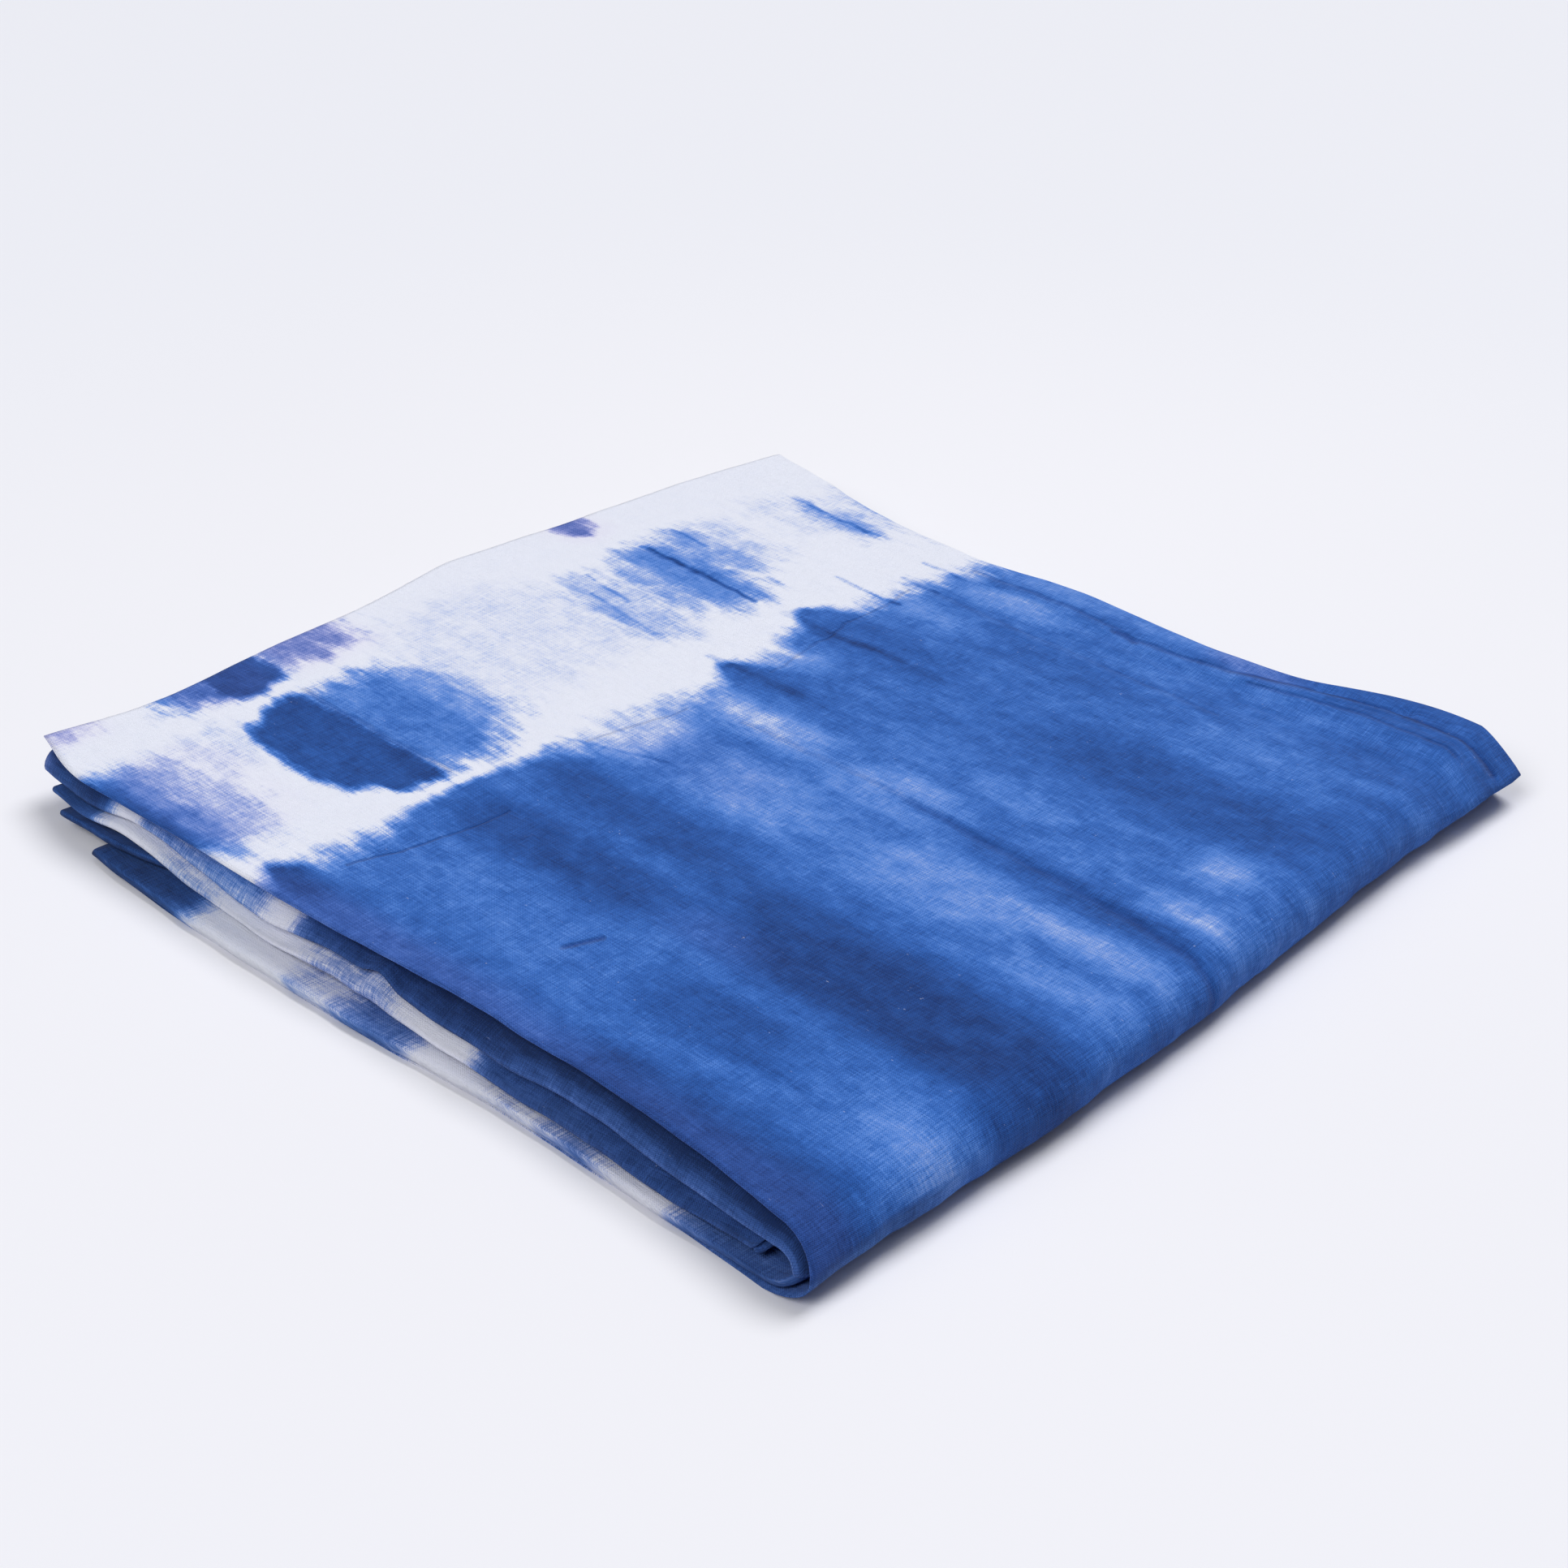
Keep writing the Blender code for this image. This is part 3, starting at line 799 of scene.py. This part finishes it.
def across_places(rows):
    """Each corner's place across the flat cloth: its y on the top, and onwards from layer to layer. Each
    front lip keeps one place along its whole length, and the cloth between eases from one to the next."""
    depth = rows[0, :, 0]
    lengths = run_lengths(rows[..., 1:], 1)
    middle = int(np.argmin(np.abs(rows[UPPER_STEPS // 2, :OUTER_STOPS, 2])))
    shifts = [rows[:, middle, 2] - lengths[:, middle]]
    for lip in LIP_DEPTHS:
        tip = int(np.argmin(np.abs(depth - lip)))
        shifts.append(np.full(len(rows), np.mean(lengths[:, tip])) - lengths[:, tip] - OUTER_MIDDLE)
    first = soft(depth - TOP_SHARE)[None, :]
    second = soft(depth - TOP_SHARE - 2)[None, :]
    shift = mix(mix(shifts[0][:, None], shifts[1][:, None], first), shifts[2][:, None], second)
    return lengths + shift


def soft(values):
    """0 to 1 with a level start and end, over an array."""
    values = np.clip(values, 0.0, 1.0)
    return values * values * (3 - 2 * values)


def stroke_reach(row, x, y, ends, sides):
    """1 in the middle of a stroke with rounded corners and 0 on its outline, with the mean of two values
    by how far each place lies towards the stroke's ends or its sides."""
    x0, x1, y0, y1 = row[:4]
    reach_x = (np.abs(x - (x0 + x1) / 2) / ((x1 - x0) / 2)) ** STROKE_ROUND
    reach_y = (np.abs(y - (y0 + y1) / 2) / ((y1 - y0) / 2)) ** STROKE_ROUND
    reach = reach_x + reach_y + TINY
    return 1 - reach ** (1 / STROKE_ROUND), (ends * reach_x + sides * reach_y) / reach


def stroke_share(row, x, y):
    """1 inside a stroke, fading to 0 at its ends and sides."""
    x0, x1, y0, y1, end, side = row[:6]
    inside, fade = stroke_reach(row, x, y, 2 * end / (x1 - x0), 2 * side / (y1 - y0))
    return soft(inside / (fade + TINY))


def stroke_depth(row, x, y):
    """How far inside a stroke's outline each place is, in mm, and less than 0 outside."""
    x0, x1, y0, y1 = row[:4]
    inside, half = stroke_reach(row, x, y, (x1 - x0) / 2, (y1 - y0) / 2)
    return inside * half


def column_values(table, column, at):
    """A table's column read at an array of places."""
    return np.array([read(table, column, value) for value in at.ravel()]).reshape(at.shape)


def blots(table, x, y):
    """The strokes of one table together: how far inside them each place is, and their dye there."""
    inside = np.full(x.shape, OUTSIDE)
    dye, weights = np.zeros(x.shape), np.full(x.shape, TINY)
    for row in table[1:]:
        depth = stroke_depth(row, x, y)
        inside = np.maximum(inside, depth)
        weight = np.exp(np.clip(depth, OUTSIDE, -OUTSIDE) / WEIGHT_RUN)
        dye += row[-1] * weight
        weights += weight
    return inside, dye / weights


def field(x, y):
    """The dyed field: how far inside it each place is, its dye there, and how softly its border ends."""
    tone = np.full(x.shape, FIELD_DYE)
    for row in FIELD_STROKES[1:]:
        tone += (row[-1] - tone) * stroke_share(row, x, y)
    line, crisp = column_values(BORDER, "x", y), np.zeros(x.shape)
    for place, half, reach, sharp in PLEATS[1:]:
        share = np.exp(-((y - place) / half) ** 2)
        line -= reach * share
        crisp += sharp * share
    blur = mix(SOFT_BLUR, CRISP_BLUR, np.clip(crisp, 0.0, 1.0))
    return np.clip(x - line, OUTSIDE, -OUTSIDE), tone, blur


def lip_dye(depth, upper, x):
    """How much dye each front lip holds, with painted shade added where the first lip turns in under the top.
    """
    first = np.where(upper, column_values(LIP_A, "dye", x), column_values(LIP_D, "dye", x))
    second = np.where(upper, column_values(LIP_B, "dye", x), column_values(LIP_C, "dye", x))
    edge = sum(np.exp(-((depth - place) / LIP_EDGE_HALF) ** 2) for place in LIP_EDGES)
    # painted shade in the gap under the top's edge, laid on as extra dye
    gap_shade = soft((LIP_DEPTHS[0] - depth) / GAP_SHADE_RUN) * soft((first - INSIDE_DYE) / INSIDE_DYE)
    held = np.where(depth < LIP_SPLIT, first, second) + LIP_GAP_SHADE * gap_shade * upper
    return np.clip(held * (1 - LIP_EDGE_FADE * edge), 0.0, 1.0)


def dye(rows):
    """What the material reads at every corner of the sheet, by name."""
    depth, x, y = rows[..., 0], rows[..., 1], rows[..., 2]
    past_bend = np.arange(len(rows))[:, None] - BEND_ROW
    upper = np.broadcast_to(past_bend < 0, depth.shape)
    inside = np.where(upper, soft((depth - TOP_DEPTH) / TOP_FADE), 1.0)
    near = inside * soft((FRONT_SIDE + LIP_REACH + LIP_FADE - y) / LIP_FADE)
    # the dye's own violet, with more on the lips as painted shade
    lean = np.maximum(violet(x, y), LIP_SHADE_VIOLET * near)
    values = {"near": near, "lip": lip_dye(depth, upper, x), "violet": lean}
    values["field_in"], tone, values["field_blur"] = field(x, y)
    under = soft(past_bend / (BEND_STEPS // 2))
    values["field_dye"] = mix(tone, np.maximum(tone, UNDER_DYE), under)
    values["bars_in"], values["bars_dye"] = blots(BARS, x, y)
    values["clouds_in"], values["clouds_dye"] = blots(CLOUDS, x, y)
    return values


def violet(x, y):
    """How far the dye leans to violet at each place."""
    lean = np.zeros(x.shape)
    for row in VIOLETS[1:]:
        lean = np.maximum(lean, row[-1] * stroke_share(row, x, y))
    return lean


class Wiring:
    """Adds nodes to one material and wires them as it goes."""

    def __init__(self, material):
        self.tree = material.node_tree

    def add(self, kind, **settings):
        """A new node with these settings."""
        node = self.tree.nodes.new(kind)
        for key, value in settings.items():
            setattr(node, key, value)
        return node

    def put(self, socket, value):
        """Wire an output to this input, or set the input to a plain value."""
        if hasattr(value, "links"):
            self.tree.links.new(value, socket)
        else:
            socket.default_value = value

    def math(self, operation, *values, clamp=False):
        """The result of one operation on plain values."""
        node = self.add("ShaderNodeMath", operation=operation, use_clamp=clamp)
        for socket, value in zip(node.inputs, values):
            self.put(socket, value)
        return node.outputs[0]

    def vector(self, operation, *values, out=0):
        """The result of one operation on vectors. Output 1 is for those that give one number."""
        node = self.add("ShaderNodeVectorMath", operation=operation)
        for socket, value in zip(node.inputs, values):
            self.put(socket, value)
        return node.outputs[out]

    def value(self, name):
        """A value stored on the sheet's corners."""
        return self.add("ShaderNodeAttribute", attribute_name=name).outputs["Fac"]

    def edged(self, kind, feather, blur):
        """The dye of one kind of stroke, with its edge feathered along the threads."""
        inside = self.math("DIVIDE", self.math("ADD", self.value(kind + "_in"), feather), blur)
        share = self.span(inside, -1.0, 1.0, soft_ends=True)
        return self.math("MULTIPLY", share, self.value(kind + "_dye"))

    def mixed(self, grains, gains):
        """The sum of some grains, each centred on 0 and with its own gain."""
        total = 0.0
        for name, gain in gains:
            total = self.math("ADD", self.math("MULTIPLY_ADD", grains[name], gain, -gain / 2), total)
        return total

    def span(self, value, low, high, to_low=0.0, to_high=1.0, soft_ends=False):
        """The value carried from one span to another, and no further than its ends."""
        kind = "SMOOTHSTEP" if soft_ends else "LINEAR"
        node = self.add("ShaderNodeMapRange", interpolation_type=kind, clamp=True)
        for socket, given in zip(node.inputs, (value, low, high, to_low, to_high)):
            self.put(socket, given)
        return node.outputs[0]

    def axis(self, vector, index):
        """One number of a vector."""
        node = self.add("ShaderNodeSeparateXYZ")
        self.put(node.inputs[0], vector)
        return node.outputs[index]

    def join(self, x, y, z):
        """A vector from three numbers."""
        node = self.add("ShaderNodeCombineXYZ")
        for socket, value in zip(node.inputs, (x, y, z)):
            self.put(socket, value)
        return node.outputs[0]

    def noise(self, place, along, across, start, detail, rough):
        """Soft noise whose grains are this long and wide in the place's own units."""
        grains = self.vector("MULTIPLY", place, (1 / along, 1 / across, 1.0))
        moved = self.vector("ADD", grains, (start, start * START_LEAN, 0.0))
        node = self.add("ShaderNodeTexNoise", noise_dimensions="2D")
        self.put(node.inputs["Vector"], moved)
        self.put(node.inputs["Scale"], 1.0)
        self.put(node.inputs["Detail"], detail)
        self.put(node.inputs["Roughness"], rough)
        return node.outputs["Fac"]

    def ramp(self, value, stops):
        """Even blends between the stops, which are screen colours or plain shares."""
        node = self.add("ShaderNodeValToRGB")
        marks = node.color_ramp.elements
        while len(marks) < len(stops):
            marks.new(0.5)
        for mark, (at, given) in zip(marks, stops):
            mark.position = at
            colour = linear(*given) if isinstance(given, tuple) else (given,) * 3
            mark.color = (*colour, 1.0)
        self.put(node.inputs[0], value)
        return node.outputs[0]

    def blend(self, share, first, second, kind="MIX"):
        """This share of the second colour over the first, each a socket or a screen colour."""
        node = self.add("ShaderNodeMix", data_type="RGBA", blend_type=kind)
        self.put(node.inputs[0], share)
        self.put(node.inputs[6], first if hasattr(first, "links") else (*linear(*first), 1.0))
        self.put(node.inputs[7], second if hasattr(second, "links") else (*linear(*second), 1.0))
        return node.outputs[2]


def linear(red, green, blue):
    """A colour given as screen values from 0 to 255."""
    def one(value):
        value /= 255
        return value / 12.92 if value <= 0.04045 else ((value + 0.055) / 1.055) ** 2.4
    return one(red), one(green), one(blue)


def thin_lines(w, place, wobble, table):
    """The strength of each thin line on the top, and 0 elsewhere."""
    shift = w.math("MULTIPLY_ADD", wobble, WOBBLE, -WOBBLE / 2)
    moved = w.vector("ADD", place, w.join(shift, w.math("MULTIPLY", shift, WOBBLE_LEAN), 0.0))
    total = 0.0
    for x0, y0, x1, y1, half, strength in table[1:]:
        start, run = (x0, y0, 0.0), Vector((x1 - x0, y1 - y0, 0.0))
        offset = w.vector("SUBTRACT", moved, start)
        along = w.vector("DOT_PRODUCT", offset, tuple(run / run.length_squared), out=1)
        along = w.math("MULTIPLY", along, 1.0, clamp=True)
        foot = w.vector("MULTIPLY_ADD", w.join(along, along, 0.0), tuple(run), start)
        away = w.vector("DISTANCE", moved, foot, out=1)
        line = w.span(away, 0.0, 2 * half, strength, 0.0, soft_ends=True)
        total = w.math("MAXIMUM", line, total)
    return total


def cotton_grains(w, place):
    """Every noise and thread pattern of the cotton, by name."""
    grains = {name: w.noise(place, *sizes) for name, *sizes in GRAINS[1:]}
    weave_x = w.math("SINE", w.math("MULTIPLY", w.axis(place, 0), math.pi / PITCH_X))
    weave_y = w.math("SINE", w.math("MULTIPLY", w.axis(place, 1), math.pi / PITCH_Y))
    grains["weave"] = w.math("MULTIPLY", weave_x, weave_y)
    grains["threads"] = w.math("MULTIPLY_ADD", grains["weave"], 0.5, 0.5)
    grains["crease"] = thin_lines(w, place, grains["wobble"], CREASES)
    grains["ridge"] = thin_lines(w, place, grains["wobble"], RIDGES)
    return grains


def top_dye(w, grains, place):
    """How much dye the top holds: the field, the blots and the thin lines."""
    blur = w.value("field_blur")
    ragged = w.mixed(grains, FEATHER)
    loosely = w.span(blur, CRISP_BLUR, SOFT_BLUR, CRISP_RAGGED, SOFT_RAGGED)
    field = w.edged("field", w.math("MULTIPLY", ragged, loosely), blur)
    bars = w.edged("bars", w.math("MULTIPLY", ragged, BAR_RAGGED), BAR_BLUR)
    clouds = w.edged("clouds", w.math("MULTIPLY", ragged, CLOUD_RAGGED), CLOUD_BLUR)
    strokes = w.math("MAXIMUM", field, w.math("MAXIMUM", bars, clouds))
    lines = thin_lines(w, place, grains["wobble"], DYE_LINES)
    lines = w.math("MULTIPLY", lines, w.span(grains["mottle"], *LINE_MOTTLE))
    return w.math("ADD", strokes, lines)


def dye_amount(w, grains, place):
    """How much dye the cloth holds at each place, varied along its threads."""
    lip, near = w.value("lip"), w.value("near")
    lip = w.math("MULTIPLY_ADD", w.mixed(grains, LIP_FEATHER), w.ramp(lip, LIP_OPEN), lip)
    top = w.math("MULTIPLY", top_dye(w, grains, place), w.math("SUBTRACT", 1.0, near))
    amount = w.math("ADD", top, w.math("MULTIPLY", lip, near), clamp=True)
    return w.math("MULTIPLY_ADD", w.mixed(grains, SPREAD), w.ramp(amount, LOOSE), amount, clamp=True)


def dyed_cotton():
    """Thin plain-weave cotton, with the dye feathered along its threads."""
    material = bpy.data.materials.new("dyed_cotton_threads")
    material.use_nodes = True
    w = Wiring(material)
    shader = material.node_tree.nodes["Principled BSDF"]
    flat = w.add("ShaderNodeUVMap", uv_map="flat").outputs[0]
    place = w.vector("MULTIPLY", flat, (1 / MM, 1 / MM, 1.0))
    grains = cotton_grains(w, place)
    amount = dye_amount(w, grains, place)

    colour = w.blend(w.value("violet"), w.ramp(amount, BLUE_STEPS), w.ramp(amount, VIOLET_STEPS))
    near = w.value("near")
    # Painted shade on the front lips: greyer and less red
    shade_greyed = w.add("ShaderNodeHueSaturation")
    w.put(shade_greyed.inputs["Saturation"], w.math("MULTIPLY_ADD", near, -LIP_SHADE_GREY, 1.0))
    w.put(shade_greyed.inputs["Color"], colour)
    shade_cooled = w.math("MULTIPLY", w.math("MULTIPLY", near, amount), LIP_SHADE_COOL)
    colour = w.blend(shade_cooled, shade_greyed.outputs[0], LIP_SHADE_COLOUR, kind="MULTIPLY")
    slubs = w.math("MULTIPLY", w.span(grains["slubs"], *SLUB_SPAN), w.span(grains["rare"], *RARE_SPAN))
    colour = w.blend(w.math("MULTIPLY", slubs, SLUB_SHARE), colour, SLUB_COLOUR)
    # Painted shadow in the pressed lines
    crease_shadow = w.math("MULTIPLY", grains["crease"], CREASE_SHADOW_SHARE)
    colour = w.blend(crease_shadow, colour, CREASE_SHADOW_COLOUR, kind="MULTIPLY")
    w.put(shader.inputs["Base Color"], colour)

    surface = 0.0
    for name, gain in RELIEF:
        surface = w.math("MULTIPLY_ADD", grains[name], gain, surface)
    bump = w.add("ShaderNodeBump")
    bump.inputs["Strength"].default_value = BUMP
    bump.inputs["Distance"].default_value = MM
    w.put(bump.inputs["Height"], surface)
    w.put(shader.inputs["Normal"], bump.outputs[0])
    w.put(shader.inputs["Roughness"], w.span(grains["mottle"], *ROUGH_SPAN))
    shader.inputs["Specular IOR Level"].default_value = SPECULAR
    shader.inputs["Sheen Weight"].default_value = SHEEN
    shader.inputs["Sheen Roughness"].default_value = SHEEN_ROUGH
    return material


def cloth_piece():
    """The thin sheet on the solid's folds, with its dye."""
    rows = folded_corners()
    count, columns = rows.shape[:2]
    shift = np.array([CENTRE[0], CENTRE[1], 0.0])
    corners = (rows[..., 1:] - shift) * MM
    faces = []
    for i in range(count - 1):
        for j in range(columns - 1):
            first = i * columns + j
            faces.append((first, first + columns, first + columns + 1, first + 1))
    mesh = bpy.data.meshes.new("cotton_sheet")
    mesh.from_pydata(corners.reshape(-1, 3).tolist(), [], faces)
    mesh.shade_smooth()
    along, across = along_places(rows), across_places(rows)
    uv = mesh.uv_layers.new(name="flat")
    places = np.stack([along, across], -1).reshape(-1, 2) * MM
    loops = np.empty(len(mesh.loops), dtype=np.int32)
    mesh.loops.foreach_get("vertex_index", loops)
    uv.data.foreach_set("uv", places[loops].ravel())
    for name, values in dye(rows).items():
        layer = mesh.attributes.new(name, "FLOAT", "POINT")
        layer.data.foreach_set("value", values.ravel().astype(np.float32))
    cloth = bpy.data.objects.new("cotton_sheet", mesh)
    bpy.context.scene.collection.objects.link(cloth)
    sheet = cloth.modifiers.new("sheet", "SOLIDIFY")
    sheet.thickness = SHEET * MM
    sheet.offset = 0.0
    cloth.data.materials.append(dyed_cotton())
    return cloth, (np.ptp(along) * MM, np.ptp(across) * MM)


# The floor, in metres
FLOOR_HALF = 30.0
PAPER_GRAIN = 0.9
PAPER_STEPS = (
    (0.30, (235, 235, 241)),
    (0.70, (238, 238, 244)),
)
# The floor's colour away from the cloth, painted a little darker as painted shade of the light's falloff
PAPER_FALLOFF_SHADE = (233, 234, 241)
FALLOFF_SPAN = (0.25, 0.75)  # how far from the cloth it takes on that painted shade
PAPER_ROUGH = 0.7
PAPER_SPECULAR = 0.2

ROOM_LIGHT = 0.36
# The room's light from the floor's level to overhead
ROOM_STEPS = (
    (0.00, (70, 71, 74)),
    (0.40, (130, 131, 134)),
    (0.80, (250, 251, 253)),
)
LAMPS = (
    ("name", "place", "degrees", "power"),
    ("key", (-0.06, 0.72, 1.22), 30.0, 1.78),
    ("fill", (-0.06, -1.05, 1.15), 36.0, 1.38),
)


def floor_plane():
    """A pale floor, painted a little darker away from the cloth as painted shade of the light's falloff."""
    mesh = bpy.data.meshes.new("floor")
    far = FLOOR_HALF
    mesh.from_pydata([(-far, -far, 0), (far, -far, 0), (far, far, 0), (-far, far, 0)], [], [(0, 1, 2, 3)])
    floor = bpy.data.objects.new("floor", mesh)
    bpy.context.scene.collection.objects.link(floor)
    material = bpy.data.materials.new("floor_paper")
    material.use_nodes = True
    w = Wiring(material)
    shader = material.node_tree.nodes["Principled BSDF"]
    place = w.add("ShaderNodeTexCoord").outputs["Object"]
    paper = w.ramp(w.noise(place, PAPER_GRAIN, PAPER_GRAIN, 0.0, 2.0, 0.5), PAPER_STEPS)
    # painted shade: the floor darkens away from the cloth
    away = w.span(w.vector("LENGTH", place, out=1), *FALLOFF_SPAN, soft_ends=True)
    w.put(shader.inputs["Base Color"], w.blend(away, paper, PAPER_FALLOFF_SHADE))
    shader.inputs["Roughness"].default_value = PAPER_ROUGH
    shader.inputs["Specular IOR Level"].default_value = PAPER_SPECULAR
    mesh.materials.append(material)
    return floor


def lights():
    """A bright room, with a soft key light from high behind and a weaker one from high in front."""
    world = bpy.data.worlds.new("studio")
    bpy.context.scene.world = world
    world.use_nodes = True
    sky = world.node_tree.nodes["Background"]
    w = Wiring(world)
    up = w.axis(w.add("ShaderNodeTexCoord").outputs["Generated"], 2)
    w.put(sky.inputs["Color"], w.ramp(up, ROOM_STEPS))
    sky.inputs["Strength"].default_value = ROOM_LIGHT
    for name, place, spread, power in LAMPS[1:]:
        lamp = bpy.data.lights.new(name, "SUN")
        lamp.angle = math.radians(spread)
        lamp.energy = power
        holder = bpy.data.objects.new(name, lamp)
        bpy.context.scene.collection.objects.link(holder)
        holder.location = place
        aim(holder, Vector((0.0, 0.0, 0.0)))


def aim(thing, target):
    """Turn a lamp or camera to look at a place, level."""
    thing.rotation_euler = (target - thing.location).to_track_quat("-Z", "Y").to_euler()


# The camera, in the tables' own places
CAMERA_TARGET = (-7.753, 3.026)
CAMERA_AWAY = 949.64
CAMERA_AZIMUTH = 44.037
CAMERA_PITCH = 30.575
FOCAL_PIXELS = 3161.57
PICTURE_PIXELS = 1932.0
SENSOR = 36.0
NEAREST = 0.05  # what the camera sees, in metres
FURTHEST = 50.0


def camera():
    """A level camera at the photograph's place."""
    data = bpy.data.cameras.new("view")
    data.sensor_width = SENSOR
    data.lens = FOCAL_PIXELS / PICTURE_PIXELS * SENSOR
    data.clip_start = NEAREST
    data.clip_end = FURTHEST
    holder = bpy.data.objects.new("view", data)
    bpy.context.scene.collection.objects.link(holder)
    turn, rise = math.radians(CAMERA_AZIMUTH), math.radians(CAMERA_PITCH)
    back = Vector((math.sin(turn) * math.cos(rise), -math.cos(turn) * math.cos(rise), math.sin(rise)))
    target = Vector((CAMERA_TARGET[0] - CENTRE[0], CAMERA_TARGET[1] - CENTRE[1], 0.0)) * MM
    holder.location = target + back * CAMERA_AWAY * MM
    aim(holder, target)
    bpy.context.scene.camera = holder


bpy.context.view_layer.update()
bpy.context.scene.view_settings.view_transform = "Standard"
camera()
lights()
floor_plane()
cloth, flat_size = cloth_piece()
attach(cloth, "root")
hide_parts("folded_cloth")
